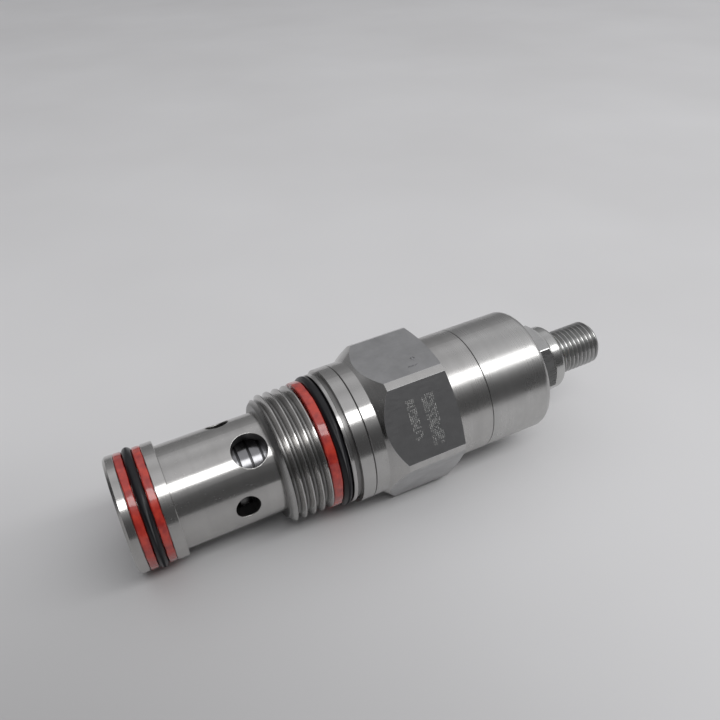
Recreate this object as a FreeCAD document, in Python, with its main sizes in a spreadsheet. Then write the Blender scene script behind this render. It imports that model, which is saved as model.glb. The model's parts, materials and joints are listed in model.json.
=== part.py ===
"""Screw-in cartridge relief valve, pilot operated, two ports.

The valve lies along X. The nose points to -X and the adjusting screw to +X. The origin is on the
axis, at the locating shoulder where the collar seats on the valve block. A pair of hex flats faces
+Z and -Z. Lengths are in millimetres.

Pressure enters at the nose and pushes on main_piston. A little oil passes through filter_screen and
orifice_plug to the chamber behind it, and holds it shut. When that chamber's pressure lifts
pilot_poppet off pilot_seat, the piston opens to the six cross holes. adjusting_screw presses
spring_pad, which sets the load of pilot_spring, and locknut holds the setting.
"""
import FreeCAD, Part
import Sketcher
import math
import os

from FreeCAD import Placement, Rotation, Vector

# Driving dimensions: alias, value, what it is. A reach is measured along X from the locating shoulder.
# Diameters are built outwards from piston_bore in front and from screw_diameter behind, by walls and steps.
SIZES = [
    # valve_sleeve
    ("piston_bore", 14.3, "honed bore for the main piston"),
    ("sleeve_wall", 2.82, "piston bore to the outside of the sleeve"),
    ("nose_step", 1.115, "nose lands, beyond the outside of the sleeve"),
    ("seat_width", 1.55, "piston bore in to the pressure port: the piston's seat"),
    ("nose_reach", 42.3, "locating shoulder to the end of the nose"),
    ("nose_lead_in", 0.5, "chamfer on the end of the nose"),
    ("nose_front_land", 1.9, "length of the land ahead of the nose seals"),
    ("nose_rear_land", 2.2, "length of the land behind the nose seals"),
    ("nose_gland_width", 5.0, "room for the nose O-ring and its two backup rings"),
    ("nose_oring_section", 1.78, "cross section of the nose O-ring"),
    ("nose_squeeze", 0.395, "how far the nose O-ring stands out of its gland"),
    ("sleeve_tail_reach", 0.5, "locating shoulder to the end of the sleeve's tail"),
    ("nose_port_lead_in", 0.6, "chamfer in the mouth of the pressure port"),
    ("main_seat_reach", 24.6, "locating shoulder to the main piston's seat"),
    ("large_hole_diameter", 6.6, "three large cross holes"),
    ("large_hole_setback", 6.7, "main seat to the large cross holes"),
    ("small_hole_diameter", 4.6, "three small cross holes"),
    ("small_hole_setback", 3.5, "main seat to the small cross holes"),
    ("hole_rim_radius", 0.15, "rounding of the cross holes' outer rims"),
    # hex_adapter
    ("adapter_wall", 1.335, "sleeve bore to the floor of the shoulder gland"),
    ("gland_depth", 1.37, "depth of that gland below the thread: this makes the thread 25.4 across"),
    ("thread_pitch", 25.4 / 14, "main thread, fourteen turns to the inch"),
    ("thread_reach", 14.1, "locating shoulder to the front of the main thread"),
    ("thread_chamfer", 1.3, "chamfer on the front of the main thread"),
    ("thread_lead", 2.22, "distance in front of the thread where its groove begins"),
    ("gland_reach", 5.65, "locating shoulder to the front wall of the shoulder gland"),
    ("shoulder_oring_section", 2.0, "cross section of the shoulder O-ring"),
    ("shoulder_backup_stand", 0.15, "shoulder backup ring, beyond the thread"),
    ("lip_stand", 0.6, "lip that backs the shoulder O-ring, beyond the thread"),
    ("lip_width", 0.8, "width of that lip"),
    ("relief_width", 0.9, "corner relief in front of the locating shoulder"),
    ("relief_depth", 1.02, "depth of that relief below the collar"),
    ("collar_stand", 1.12, "collar with the locating shoulder, beyond the thread"),
    ("collar_length", 5.4, "locating shoulder to the start of the hex"),
    ("scribe_reach", 2.68, "scribed line round the collar"),
    ("scribe_width", 0.3, "width of the scribed line"),
    ("hex_stand", 0.4675, "hex flats, beyond the collar: this makes the hex 28.575 across flats"),
    ("hex_corner_break", 0.45, "turned off the corners of the hex"),
    ("hex_lead_slope", 0.734, "radius gained for each unit of length on the front chamfer"),
    ("hex_rear_reach", 21.3, "locating shoulder to the back of the hex"),
    ("hex_rear_chamfer", 0.7, "length of the chamfer on the back corners"),
    ("hex_rear_inset", 0.3, "flats in to the edge of that chamfer"),
    ("tail_wall", 2.875, "wall of the round tail round the bonnet's spigot"),
    ("tail_reach", 29.08, "locating shoulder to the seam with the bonnet"),
    ("seam_edge", 0.12, "broken edge on each side of the seam"),
    ("carrier_ledge", 1.995, "ledge behind the seat carrier, round the pilot chamber"),
    ("chamber_front_reach", 7.5, "locating shoulder to the front of the pilot chamber"),
    ("spigot_depth", 8.58, "seam to the floor of the spigot bore"),
    ("spigot_gap", 0.04, "gap between that floor and the bonnet's spigot"),
    ("drain_width", 2.4, "drain slot along the sleeve's tail"),
    ("drain_depth", 0.85, "depth of the drain slot past the sleeve bore"),
    ("drain_overrun", 2.4, "drain slot past the front of the pilot chamber"),
    # sleeve_retaining_ring
    ("snap_wire", 1.2, "wire of the snap ring that holds the sleeve"),
    ("snap_depth", 0.72, "how deep the snap ring sits in the sleeve"),
    ("snap_reach", 10.7, "locating shoulder to the snap ring"),
    # main_piston and what it carries
    ("piston_length", 17.0, "main piston"),
    ("piston_wall", 1.375, "wall of the piston round its spring cup"),
    ("piston_cup_floor", 4.7, "piston's front to the floor of its cup"),
    ("piston_edge", 0.2, "broken edges of the piston"),
    ("balance_groove_width", 0.5, "grooves that centre the piston on its oil film"),
    ("balance_groove_depth", 0.3, "depth of those grooves"),
    ("balance_groove_first", 2.2, "piston's front to its first groove"),
    ("balance_groove_pitch", 2.2, "from one groove to the next"),
    ("plug_diameter", 5.0, "orifice plug"),
    ("orifice_diameter", 0.8, "metering hole in the plug"),
    ("plug_slot_width", 0.8, "screwdriver slot in the plug"),
    ("plug_slot_depth", 0.9, "depth of that slot"),
    ("screen_recess_diameter", 8.4, "recess for the filter screen"),
    ("screen_recess_depth", 1.2, "depth of that recess"),
    ("screen_thickness", 0.3, "filter screen"),
    ("screen_hole_diameter", 0.6, "holes in the filter screen"),
    ("screen_hole_pitch", 1.3, "from one ring of holes to the next"),
    ("screen_ring_width", 0.85, "radial width of the ring that holds the screen"),
    ("screen_ring_thickness", 0.5, "thickness of that ring"),
    ("piston_spring_wire", 1.3, "wire of the piston spring"),
    ("piston_spring_turns", 8.0, "turns of the piston spring"),
    # pilot stage
    ("carrier_passage", 3.2, "passage through the front of the seat carrier"),
    ("carrier_floor", 2.5, "carrier's front to the floor of the seat's pocket"),
    ("carrier_seal_section", 1.28, "cross section of the carrier's face seal"),
    ("carrier_seal_room", 0.27, "spare width of its groove"),
    ("pilot_seat_diameter", 7.2, "hardened pilot seat, pressed into the carrier"),
    ("pilot_seat_stand", 0.8, "how far the seat stands out of the carrier"),
    ("pilot_orifice", 2.2, "hole that the pilot poppet closes"),
    ("pilot_orifice_length", 3.2, "length of that hole"),
    ("poppet_slope", 0.577, "radius gained for each unit of length on the poppet's cone"),
    ("poppet_tip_diameter", 1.0, "blunt tip of the poppet"),
    ("poppet_stem_diameter", 5.2, "poppet behind its cone"),
    ("poppet_stem_length", 0.5, "straight length behind the cone"),
    ("poppet_flange_margin", 0.05, "flange of the poppet, beyond the pilot spring"),
    ("poppet_flange_length", 1.5, "thickness of that flange"),
    ("spring_spigot_diameter", 5.9, "spigots that centre the pilot spring"),
    ("spring_spigot_length", 2.4, "length of those spigots"),
    ("spigot_edge", 0.4, "chamfer on those spigots"),
    ("pilot_spring_wire", 1.5, "wire of the pilot spring"),
    ("pilot_spring_length", 12.06, "pilot spring as set"),
    ("pilot_spring_turns", 5.5, "turns of the pilot spring"),
    ("pad_thickness", 2.4, "thickness of the spring pad"),
    ("pad_room", 0.3, "spring pad to the bore of the bonnet"),
    # bonnet
    ("bonnet_wall", 3.4, "bore of the bonnet to the outside of its spigot"),
    ("bonnet_end_thickness", 6.6, "end of the bonnet, which holds the screw's thread"),
    ("bonnet_end_radius", 1.5, "rounding of the bonnet's end"),
    ("bonnet_gland_setback", 4.2, "seam to the back wall of the spigot's gland"),
    ("bonnet_gland_width", 2.2, "gland for the bonnet O-ring"),
    ("bonnet_oring_section", 1.56, "cross section of the bonnet O-ring"),
    # adjusting_screw
    ("screw_diameter", 9.525, "adjusting screw, outside of the thread"),
    ("screw_pitch", 25.4 / 24, "adjusting screw, twenty-four turns to the inch"),
    ("screw_stand", 11.0, "adjusting screw, past the locknut"),
    ("screw_end_chamfer", 0.85, "chamfer on the end of the screw"),
    ("screw_tip_diameter", 3.8, "tip that bears on the spring pad"),
    ("screw_tip_length", 1.2, "length of that tip"),
    ("head_step", 1.8375, "bore for the screw's head, beyond its thread"),
    ("screw_head_length", 5.0, "sealing head inside the bonnet"),
    ("head_room", 3.1, "screw's head to the inside of the bonnet's end"),
    ("head_land", 0.9, "land at each end of the head's gland"),
    ("undercut_depth", 0.8625, "undercut between head and thread"),
    ("undercut_width", 1.6, "width of that undercut"),
    ("head_oring_section", 1.6, "cross section of the head's O-ring"),
    ("key_across_flats", 3.97, "hex key socket"),
    ("key_depth", 5.0, "depth of that socket"),
    # locknut
    ("nut_wall", 2.3825, "adjusting screw to the flats: this makes the nut 14.29 across flats"),
    ("nut_corner_break", 0.05, "turned off the corners of the nut"),
    ("nut_height", 8.1, "locknut"),
    ("nut_hex_height", 4.4, "full-depth corners"),
    ("nut_collar_inset", 0.145, "flats in to the bearing face, and to the round collar"),
    ("nut_face_chamfer", 0.45, "length of the chamfer at the bearing face"),
    ("nut_rim_radius", 0.9, "rounding of the collar's rim"),
    ("nut_turn", 8.5, "how far the nut is turned from the adapter's flats, in degrees"),
    ("insert_width", 1.5375, "adjusting screw to the outside of the locking insert"),
    ("insert_thickness", 1.8, "thickness of the locking insert"),
    ("insert_lip", 0.4, "metal rolled over the insert"),
    ("insert_reveal", 0.8375, "adjusting screw to the edge of the rolled metal"),
    # edges and fits
    ("edge_break", 0.1, "broken edges of the lands and the lip"),
    ("fit_clearance", 0.025, "radial clearance of what slides or turns"),
    ("seal_clearance", 0.01, "radial clearance of a seal drawn as fitted"),
    ("thread_clearance", 0.05, "radial clearance of the plain bores round the screw"),
    ("spring_room", 0.2, "radial room between a spring and what guides it"),
    ("seat_gap", 0.04, "gap under the closed pilot poppet, along X"),
]

CROSS_HOLE_COUNT = 3
BALANCE_GROOVE_COUNT = 6
SCREEN_RING_HOLES = (6, 12)
RING_GAP_DEGREES = 30
THREAD_DEPTH_RATIO = 0.6134  # depth of an external thread over its pitch
THREAD_MOUTH_RATIO = 7 / 8   # width of its groove at the crests, over its pitch
THREAD_OVERCUT_RATIO = 0.05  # how far the cutter starts above the crests, over the pitch
THREAD_RUNOUT_TURNS = 1.5    # the groove goes on past the end of the screw
HALF_THREAD_ANGLE = math.radians(30)
CORNER_OVER_FLAT = 2 / math.sqrt(3)  # of a hexagon
SAME_PLACE = 0.001           # two edges are the same if they are this close
RIM_SAMPLES = 9              # points looked at on an edge to find a hole's rim
POINTS_PER_TURN = 14         # on the path of a spring's wire
CLOSED_TURNS = 0.75          # at each end of a spring
OPENING_TURNS = 0.5          # over which a closed end opens to the full pitch
CLOSED_PITCH_RATIO = 1.02    # pitch of the closed turns, over the wire

doc = FreeCAD.newDocument("cartridge_valve")
sheet = doc.addObject("Spreadsheet::Sheet", "Sizes")


class Size:
    """A length that keeps its formula, so that sketches and features stay bound to the sheet."""

    def __init__(self, value, formula):
        self.value = value
        self.formula = formula

    def __add__(self, other):
        return join_sizes(self, "+", other)

    def __radd__(self, other):
        return join_sizes(other, "+", self)

    def __sub__(self, other):
        return join_sizes(self, "-", other)

    def __rsub__(self, other):
        return join_sizes(other, "-", self)

    def __mul__(self, other):
        return join_sizes(self, "*", other)

    def __rmul__(self, other):
        return join_sizes(other, "*", self)

    def __truediv__(self, other):
        return join_sizes(self, "/", other)

    def __neg__(self):
        return join_sizes(0, "-", self)


def as_size(number):
    return number if isinstance(number, Size) else Size(float(number), repr(float(number)))


def join_sizes(left, sign, right):
    left, right = as_size(left), as_size(right)
    value = {
        "+": left.value + right.value,
        "-": left.value - right.value,
        "*": left.value * right.value,
        "/": left.value / right.value if sign == "/" else None,
    }[sign]
    return Size(value, f"({left.formula} {sign} {right.formula})")


class Sizes:
    """The sheet's cells by alias, each as a Size."""

    def __init__(self, rows):
        for row, (alias, value, meaning) in enumerate(rows, start=1):
            sheet.set(f"A{row}", alias)
            sheet.set(f"B{row}", repr(value))
            sheet.set(f"C{row}", meaning)
            sheet.setAlias(f"B{row}", alias)
            setattr(self, alias, Size(value, f"Sizes.{alias}"))


s = Sizes(SIZES)
doc.recompute()


# ---------------------------------------------------------------- how the pieces are made

def bind(feature, prop, size):
    """Set a feature's property to a size, and keep it bound to the sheet."""
    feature.setExpression(prop, as_size(size).formula)


def origin_feature(body, role):
    return next(item for item in body.Origin.OriginFeatures if item.Role == role)


def new_sketch(body, name, role="XZ_Plane"):
    sketch = body.newObject("Sketcher::SketchObject", f"{body.Name}_{name}")
    sketch.AttachmentSupport = [(origin_feature(body, role), "")]
    sketch.MapMode = "FlatFace"
    return sketch


def pin_vertex(sketch, geometry, vertex, x, y):
    """Hold one vertex of a sketch at sizes x and y from the sketch's origin."""
    for kind, axis, size in (("DistanceX", -2, as_size(x)), ("DistanceY", -1, as_size(y))):
        if size.value == 0:
            sketch.addConstraint(Sketcher.Constraint("PointOnObject", geometry, vertex, axis))
            continue
        if size.value < 0:
            size = -size
            ends = (geometry, vertex, -1, 1)
        else:
            ends = (-1, 1, geometry, vertex)
        index = sketch.addConstraint(Sketcher.Constraint(kind, *ends, size.value))
        bind(sketch, f"Constraints[{index}]", size)


def draw_outline(sketch, outline):
    """Close a chain of straight lines through the outline's points, each point held by sizes."""
    points = [(as_size(x), as_size(y)) for x, y in outline]
    for (x1, y1), (x2, y2) in zip(points, points[1:] + points[:1]):
        start, end = Vector(x1.value, y1.value, 0), Vector(x2.value, y2.value, 0)
        sketch.addGeometry(Part.LineSegment(start, end), False)
    last = len(points) - 1
    for line, (x, y) in enumerate(points):
        before = line - 1 if line else last
        sketch.addConstraint(Sketcher.Constraint("Coincident", before, 2, line, 1))
        pin_vertex(sketch, line, 1, x, y)


def turned_body(label, outline, degrees=360.0):
    """A body turned about X from an outline of (x, radius) points."""
    body = doc.addObject("PartDesign::Body", label)
    body.Label = label
    profile = new_sketch(body, "profile")
    draw_outline(profile, outline)
    turning = body.newObject("PartDesign::Revolution", f"{label}_turning")
    turning.Profile = profile
    turning.ReferenceAxis = (origin_feature(body, "X_Axis"), [""])
    turning.Angle = degrees
    return body


def cut_thread(body, start, length, radius, pitch):
    """Cut a right-hand thread groove about X, from the size start over a length."""
    depth = pitch * THREAD_DEPTH_RATIO
    crest_half = pitch * (THREAD_MOUTH_RATIO / 2)
    root_half = crest_half - depth * math.tan(HALF_THREAD_ANGLE)
    over = pitch * THREAD_OVERCUT_RATIO
    over_half = crest_half + over * math.tan(HALF_THREAD_ANGLE)
    vee = new_sketch(body, "thread_form")
    draw_outline(vee, [
        (start - over_half, radius + over),
        (start + over_half, radius + over),
        (start + root_half, radius - depth),
        (start - root_half, radius - depth),
    ])
    thread = body.newObject("PartDesign::SubtractiveHelix", f"{body.Name}_thread")
    thread.Profile = vee
    thread.ReferenceAxis = (origin_feature(body, "X_Axis"), [""])
    thread.Mode = 0
    bind(thread, "Pitch", pitch)
    bind(thread, "Height", length)


def drill_across(body, name, x, diameter, depth, toward_front):
    """Drill one radial hole along Y and repeat it round X."""
    ring = new_sketch(body, name)
    centre = as_size(x)
    ring.addGeometry(Part.Circle(Vector(centre.value, 0, 0), Vector(0, 0, 1), diameter.value / 2), False)
    pin_vertex(ring, 0, 3, centre, 0)
    radius = ring.addConstraint(Sketcher.Constraint("Radius", 0, diameter.value / 2))
    bind(ring, f"Constraints[{radius}]", diameter / 2)
    hole = body.newObject("PartDesign::Pocket", f"{body.Name}_{name}_hole")
    hole.Profile = ring
    hole.Reversed = toward_front
    bind(hole, "Length", depth)
    repeat_round(body, name, hole, CROSS_HOLE_COUNT)


def repeat_round(body, name, feature, count):
    pattern = body.newObject("PartDesign::PolarPattern", f"{body.Name}_{name}_pattern")
    pattern.Originals = [feature]
    pattern.Axis = (origin_feature(body, "X_Axis"), [""])
    pattern.Angle = 360
    pattern.Occurrences = count
    body.Tip = pattern


def fillet_edges(body, name, wanted, rounding):
    """Round those edges of a body for which wanted(edge) is true."""
    doc.recompute()
    base = body.Tip
    chosen = [f"Edge{index}" for index, edge in enumerate(base.Shape.Edges, start=1) if wanted(edge)]
    fillet = body.newObject("PartDesign::Fillet", f"{body.Name}_{name}")
    fillet.Base = (base, chosen)
    bind(fillet, "Radius", rounding)
    body.Tip = fillet


def round_rim(body, name, x, radius, rounding):
    """Round the circular edge at station x and the given radius."""
    def on_rim(edge):
        circle = edge.Curve
        if not isinstance(circle, Part.Circle):
            return False
        return abs(circle.Center.x - x.value) < SAME_PLACE and abs(circle.Radius - radius.value) < SAME_PLACE

    fillet_edges(body, name, on_rim, rounding)


def round_hole_rims(body, name, radius, rounding):
    """Round the rims where cross holes come out of the cylinder of the given radius."""
    def on_cylinder(edge):
        points = edge.discretize(RIM_SAMPLES)
        level = all(abs(math.hypot(point.y, point.z) - radius.value) < SAME_PLACE for point in points)
        return level and isinstance(edge.Curve, Part.BSplineCurve)

    fillet_edges(body, name, on_cylinder, rounding)


def ring_seal(label, x, mean_radius, section_radius):
    """An O-ring about X."""
    seal = doc.addObject("Part::Torus", label)
    seal.Label = label
    seal.Placement = Placement(Vector(), Rotation(Vector(0, 1, 0), 90))
    bind(seal, "Placement.Base.x", x)
    bind(seal, "Radius1", mean_radius)
    bind(seal, "Radius2", section_radius)
    return seal


def hex_bar(name, start, length, flat_radius, turn):
    """A hexagonal bar along X whose flats face +Z and -Z when turn is zero."""
    bar = doc.addObject("Part::Prism", name)
    bar.Polygon = 6
    bind(bar, "Circumradius", flat_radius * CORNER_OVER_FLAT)
    bind(bar, "Height", length)
    corner_to_side = Rotation(Vector(0, 1, 0), Vector(0, 0, 1), Vector(1, 0, 0), "ZXY")
    bar.Placement = Placement(Vector(), Rotation(Vector(1, 0, 0), turn.value) * corner_to_side)
    bind(bar, "Placement.Base.x", start)
    return bar


def block(name, corner, lengths):
    """A box from its lowest corner and its lengths along X, Y and Z."""
    box = doc.addObject("Part::Box", name)
    for prop, size in zip(("Length", "Width", "Height"), lengths):
        bind(box, prop, size)
    for axis, size in zip("xyz", corner):
        bind(box, f"Placement.Base.{axis}", size)
    return box


def mill_hexagon(label, turned, start, length, flat_radius, corner_radius, turn):
    """Mill six flats on a turned piece over one length of it, and leave the rest round."""
    stock = doc.addObject("Part::Cylinder", f"{label}_stock")
    stock.Placement = Placement(Vector(), Rotation(Vector(0, 1, 0), 90))
    bind(stock, "Placement.Base.x", start)
    bind(stock, "Radius", corner_radius * CORNER_OVER_FLAT)
    bind(stock, "Height", length)
    bar = hex_bar(f"{label}_bar", start, length, flat_radius, turn)
    return cut_away(label, turned, cut_away(f"{label}_cutter", stock, bar))


def cut_away(label, base, tool):
    cut = doc.addObject("Part::Cut", label)
    cut.Label = label
    cut.Base, cut.Tool = base, tool
    return cut


def coil_spring(label, start, end, mean_radius_size, wire_diameter, turn_count):
    """A compression spring between two faces, with closed and ground ends."""
    wire, mean_radius, turns = wire_diameter.value, mean_radius_size.value, turn_count.value
    span = end.value - start.value
    grind = wire / 4
    steps = round(turns * POINTS_PER_TURN)
    places = [turns * step / steps for step in range(steps + 1)]

    def openness(place):
        """0 on the closed end turns and 1 on the free ones."""
        share = min(max((min(place, turns - place) - CLOSED_TURNS) / OPENING_TURNS, 0), 1)
        return share * share * (3 - 2 * share)

    opened = [0.0]
    for left, right in zip(places, places[1:]):
        opened.append(opened[-1] + openness((left + right) / 2) * (right - left))
    closed_rise = wire * CLOSED_PITCH_RATIO
    free_rise = (span - wire + 2 * grind - closed_rise * turns) / opened[-1]
    points = []
    for place, share in zip(places, opened):
        turn = 2 * math.pi * place
        x = start.value - grind + wire / 2 + closed_rise * place + free_rise * share
        points.append(Vector(x, mean_radius * math.cos(turn), mean_radius * math.sin(turn)))
    curve = Part.BSplineCurve()
    curve.interpolate(points)
    tangent = curve.tangent(curve.FirstParameter)[0]
    section = Part.Wire([Part.Circle(points[0], tangent, wire / 2).toShape()])
    coil = Part.Wire([curve.toShape()]).makePipeShell([section], True, True)
    between_faces = Part.makeCylinder(mean_radius + wire, span, Vector(start.value, 0, 0), Vector(1, 0, 0))
    spring = doc.addObject("Part::Feature", label)
    spring.Label = label
    spring.Shape = coil.common(between_faces).Solids[0]
    return spring


# ---------------------------------------------------------------- shared places and radii

# From the piston outwards to the hex.
piston_bore_radius = s.piston_bore / 2
piston_radius = piston_bore_radius - s.fit_clearance
cup_radius = piston_radius - s.piston_wall
sleeve_radius = piston_bore_radius + s.sleeve_wall
sleeve_bore_radius = sleeve_radius + s.fit_clearance
nose_radius = sleeve_radius + s.nose_step
nose_port_radius = piston_bore_radius - s.seat_width
nose_gland_radius = nose_radius + s.nose_squeeze - s.nose_oring_section
snap_inner = sleeve_bore_radius - s.snap_depth - s.fit_clearance
snap_outer = snap_inner + s.snap_wire + 2 * s.fit_clearance
chamber_radius = sleeve_bore_radius - s.carrier_ledge
gland_radius = sleeve_bore_radius + s.adapter_wall
thread_radius = gland_radius + s.gland_depth
collar_radius = thread_radius + s.collar_stand
hex_flat_radius = collar_radius + s.hex_stand
hex_corner_radius = hex_flat_radius * CORNER_OVER_FLAT - s.hex_corner_break

# From the adjusting screw outwards to the tail and the locknut.
screw_radius = s.screw_diameter / 2
screw_bore_radius = screw_radius + s.thread_clearance
bonnet_bore_radius = screw_radius + s.head_step
head_radius = bonnet_bore_radius - s.thread_clearance
spigot_radius = bonnet_bore_radius + s.bonnet_wall
spigot_bore_radius = spigot_radius + s.fit_clearance
tail_radius = spigot_bore_radius + s.tail_wall
nut_flat_radius = screw_radius + s.nut_wall
nut_corner_radius = nut_flat_radius * CORNER_OVER_FLAT - s.nut_corner_break
nut_collar_radius = nut_flat_radius - s.nut_collar_inset

# The pilot spring and what it sits on.
spring_spigot_radius = s.spring_spigot_diameter / 2
pilot_spring_radius = spring_spigot_radius + s.spring_room + s.pilot_spring_wire / 2
poppet_flange_radius = pilot_spring_radius + s.pilot_spring_wire / 2 + s.poppet_flange_margin
pilot_seat_radius = s.pilot_seat_diameter / 2
pilot_orifice_radius = s.pilot_orifice / 2

# Along the axis, from the nose to the end of the screw.
nose_end = -s.nose_reach
nose_gland_front = nose_end + s.nose_front_land
nose_gland_rear = nose_gland_front + s.nose_gland_width
main_seat = -s.main_seat_reach
cup_floor = main_seat + s.piston_cup_floor
thread_front = -s.thread_reach
snap_front = -s.snap_reach - s.snap_wire / 2 - s.fit_clearance
snap_rear = -s.snap_reach + s.snap_wire / 2 + s.fit_clearance
gland_front = -s.gland_reach
relief_front = -s.relief_width
lip_front = relief_front - s.lip_width
sleeve_tail = -s.sleeve_tail_reach
seat_pocket_floor = sleeve_tail + s.carrier_floor
seat_face = s.chamber_front_reach + s.pilot_seat_stand
seat_contact = seat_face + s.seat_gap
poppet_tip = seat_contact - (pilot_orifice_radius - s.poppet_tip_diameter / 2) / s.poppet_slope
poppet_cone_end = seat_contact + (s.poppet_stem_diameter / 2 - pilot_orifice_radius) / s.poppet_slope
flange_front = poppet_cone_end + s.poppet_stem_length
flange_rear = flange_front + s.poppet_flange_length
pad_front = flange_rear + s.pilot_spring_length
pad_rear = pad_front + s.pad_thickness
spigot_floor = s.tail_reach - s.spigot_depth
head_front = pad_rear + s.screw_tip_length
head_rear = head_front + s.screw_head_length
undercut_end = head_rear + s.undercut_width
bonnet_inside = head_rear + s.head_room
bonnet_end = bonnet_inside + s.bonnet_end_thickness
nut_end = bonnet_end + s.nut_height
screw_end = nut_end + s.screw_stand


# ---------------------------------------------------------------- sleeve and nose seals

def make_valve_sleeve():
    land_end = nose_gland_rear + s.nose_rear_land
    body = turned_body("valve_sleeve", [
        (nose_end, nose_radius - s.nose_lead_in),
        (nose_end + s.nose_lead_in, nose_radius),
        (nose_gland_front - s.edge_break, nose_radius),
        (nose_gland_front, nose_radius - s.edge_break),
        (nose_gland_front, nose_gland_radius),
        (nose_gland_rear, nose_gland_radius),
        (nose_gland_rear, nose_radius - s.edge_break),
        (nose_gland_rear + s.edge_break, nose_radius),
        (land_end - s.edge_break, nose_radius),
        (land_end, nose_radius - s.edge_break),
        (land_end, sleeve_radius),
        (snap_front, sleeve_radius),
        (snap_front, snap_inner),
        (snap_rear, snap_inner),
        (snap_rear, sleeve_radius),
        (sleeve_tail, sleeve_radius),
        (sleeve_tail, piston_bore_radius),
        (main_seat, piston_bore_radius),
        (main_seat, nose_port_radius),
        (nose_end + s.nose_port_lead_in, nose_port_radius),
        (nose_end, nose_port_radius + s.nose_port_lead_in),
    ])
    drill_across(body, "small", main_seat + s.small_hole_setback, s.small_hole_diameter, nose_radius, True)
    drill_across(body, "large", main_seat + s.large_hole_setback, s.large_hole_diameter, nose_radius, False)
    round_hole_rims(body, "hole_rims", sleeve_radius, s.hole_rim_radius)
    return body


def make_nose_seals():
    middle = (nose_gland_front + nose_gland_rear) / 2
    section = s.nose_oring_section
    backup_outer = nose_radius - s.seal_clearance
    backup_inner = nose_gland_radius + s.seal_clearance
    seals = [ring_seal("nose_oring", middle, nose_gland_radius + section / 2, section / 2)]
    sides = {
        "nose_backup_front": (nose_gland_front + s.seal_clearance, middle - section / 2),
        "nose_backup_rear": (middle + section / 2, nose_gland_rear - s.seal_clearance),
    }
    for label, (front, rear) in sides.items():
        seals.append(turned_body(label, [
            (front, backup_inner),
            (front, backup_outer),
            (rear, backup_outer),
            (rear, backup_inner),
        ]))
    return seals


def make_snap_ring():
    """The sleeve's snap ring is open, so that it can be sprung into its groove."""
    middle = (snap_inner + snap_outer) / 2
    ring = ring_seal("sleeve_retaining_ring", -s.snap_reach, middle, s.snap_wire / 2)
    ring.Angle3 = 360 - RING_GAP_DEGREES
    return ring


# ---------------------------------------------------------------- adapter and shoulder seals

def make_hex_adapter():
    relief_radius = collar_radius - s.relief_depth
    lip_radius = thread_radius + s.lip_stand
    hex_full = s.collar_length + (hex_corner_radius - collar_radius) / s.hex_lead_slope
    turned = turned_body("hex_adapter_turned", [
        (thread_front, thread_radius - s.thread_chamfer),
        (thread_front + s.thread_chamfer, thread_radius),
        (gland_front, thread_radius),
        (gland_front, gland_radius),
        (lip_front, gland_radius),
        (lip_front, lip_radius - s.edge_break),
        (lip_front + s.edge_break, lip_radius),
        (relief_front - s.edge_break, lip_radius),
        (relief_front, lip_radius - s.edge_break),
        (relief_front, relief_radius),
        (0, relief_radius),
        (0, collar_radius),
        (s.scribe_reach - s.scribe_width / 2, collar_radius),
        (s.scribe_reach, collar_radius - s.scribe_width / 2),
        (s.scribe_reach + s.scribe_width / 2, collar_radius),
        (s.collar_length, collar_radius),
        (hex_full, hex_corner_radius),
        (s.hex_rear_reach - s.hex_rear_chamfer, hex_corner_radius),
        (s.hex_rear_reach, hex_flat_radius - s.hex_rear_inset),
        (s.hex_rear_reach, tail_radius),
        (s.tail_reach - s.seam_edge, tail_radius),
        (s.tail_reach, tail_radius - s.seam_edge),
        (s.tail_reach, spigot_bore_radius),
        (spigot_floor, spigot_bore_radius),
        (spigot_floor, chamber_radius),
        (s.chamber_front_reach, chamber_radius),
        (s.chamber_front_reach, sleeve_bore_radius),
        (snap_rear, sleeve_bore_radius),
        (snap_rear, snap_outer),
        (snap_front, snap_outer),
        (snap_front, sleeve_bore_radius),
        (thread_front, sleeve_bore_radius),
    ])
    cut_start = thread_front - s.thread_lead
    cut_end = (gland_front + lip_front) / 2
    cut_thread(turned, cut_start, cut_end - cut_start, thread_radius, s.thread_pitch)
    hex_length = s.hex_rear_reach - s.collar_length
    milled = mill_hexagon(
        "hex_adapter_milled", turned, s.collar_length, hex_length,
        hex_flat_radius, hex_corner_radius, as_size(0),
    )
    drain_bottom = -(sleeve_bore_radius + s.drain_depth)
    drain_length = s.thread_reach + s.chamber_front_reach + s.drain_overrun
    drain = block(
        "hex_adapter_drain",
        (thread_front, -s.drain_width / 2, drain_bottom),
        (drain_length, s.drain_width, -piston_bore_radius - drain_bottom),
    )
    return cut_away("hex_adapter", milled, drain)


def make_shoulder_seals():
    section = s.shoulder_oring_section
    oring = ring_seal("shoulder_oring", lip_front - section / 2, gland_radius + section / 2, section / 2)
    outer = thread_radius + s.shoulder_backup_stand
    backup = turned_body("shoulder_backup_ring", [
        (gland_front + s.seal_clearance, gland_radius + s.seal_clearance),
        (gland_front + s.seal_clearance, outer),
        (lip_front - section - s.seal_clearance, outer),
        (lip_front - section - s.seal_clearance, gland_radius + s.seal_clearance),
    ])
    return [oring, backup]


# ---------------------------------------------------------------- main piston

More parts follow.
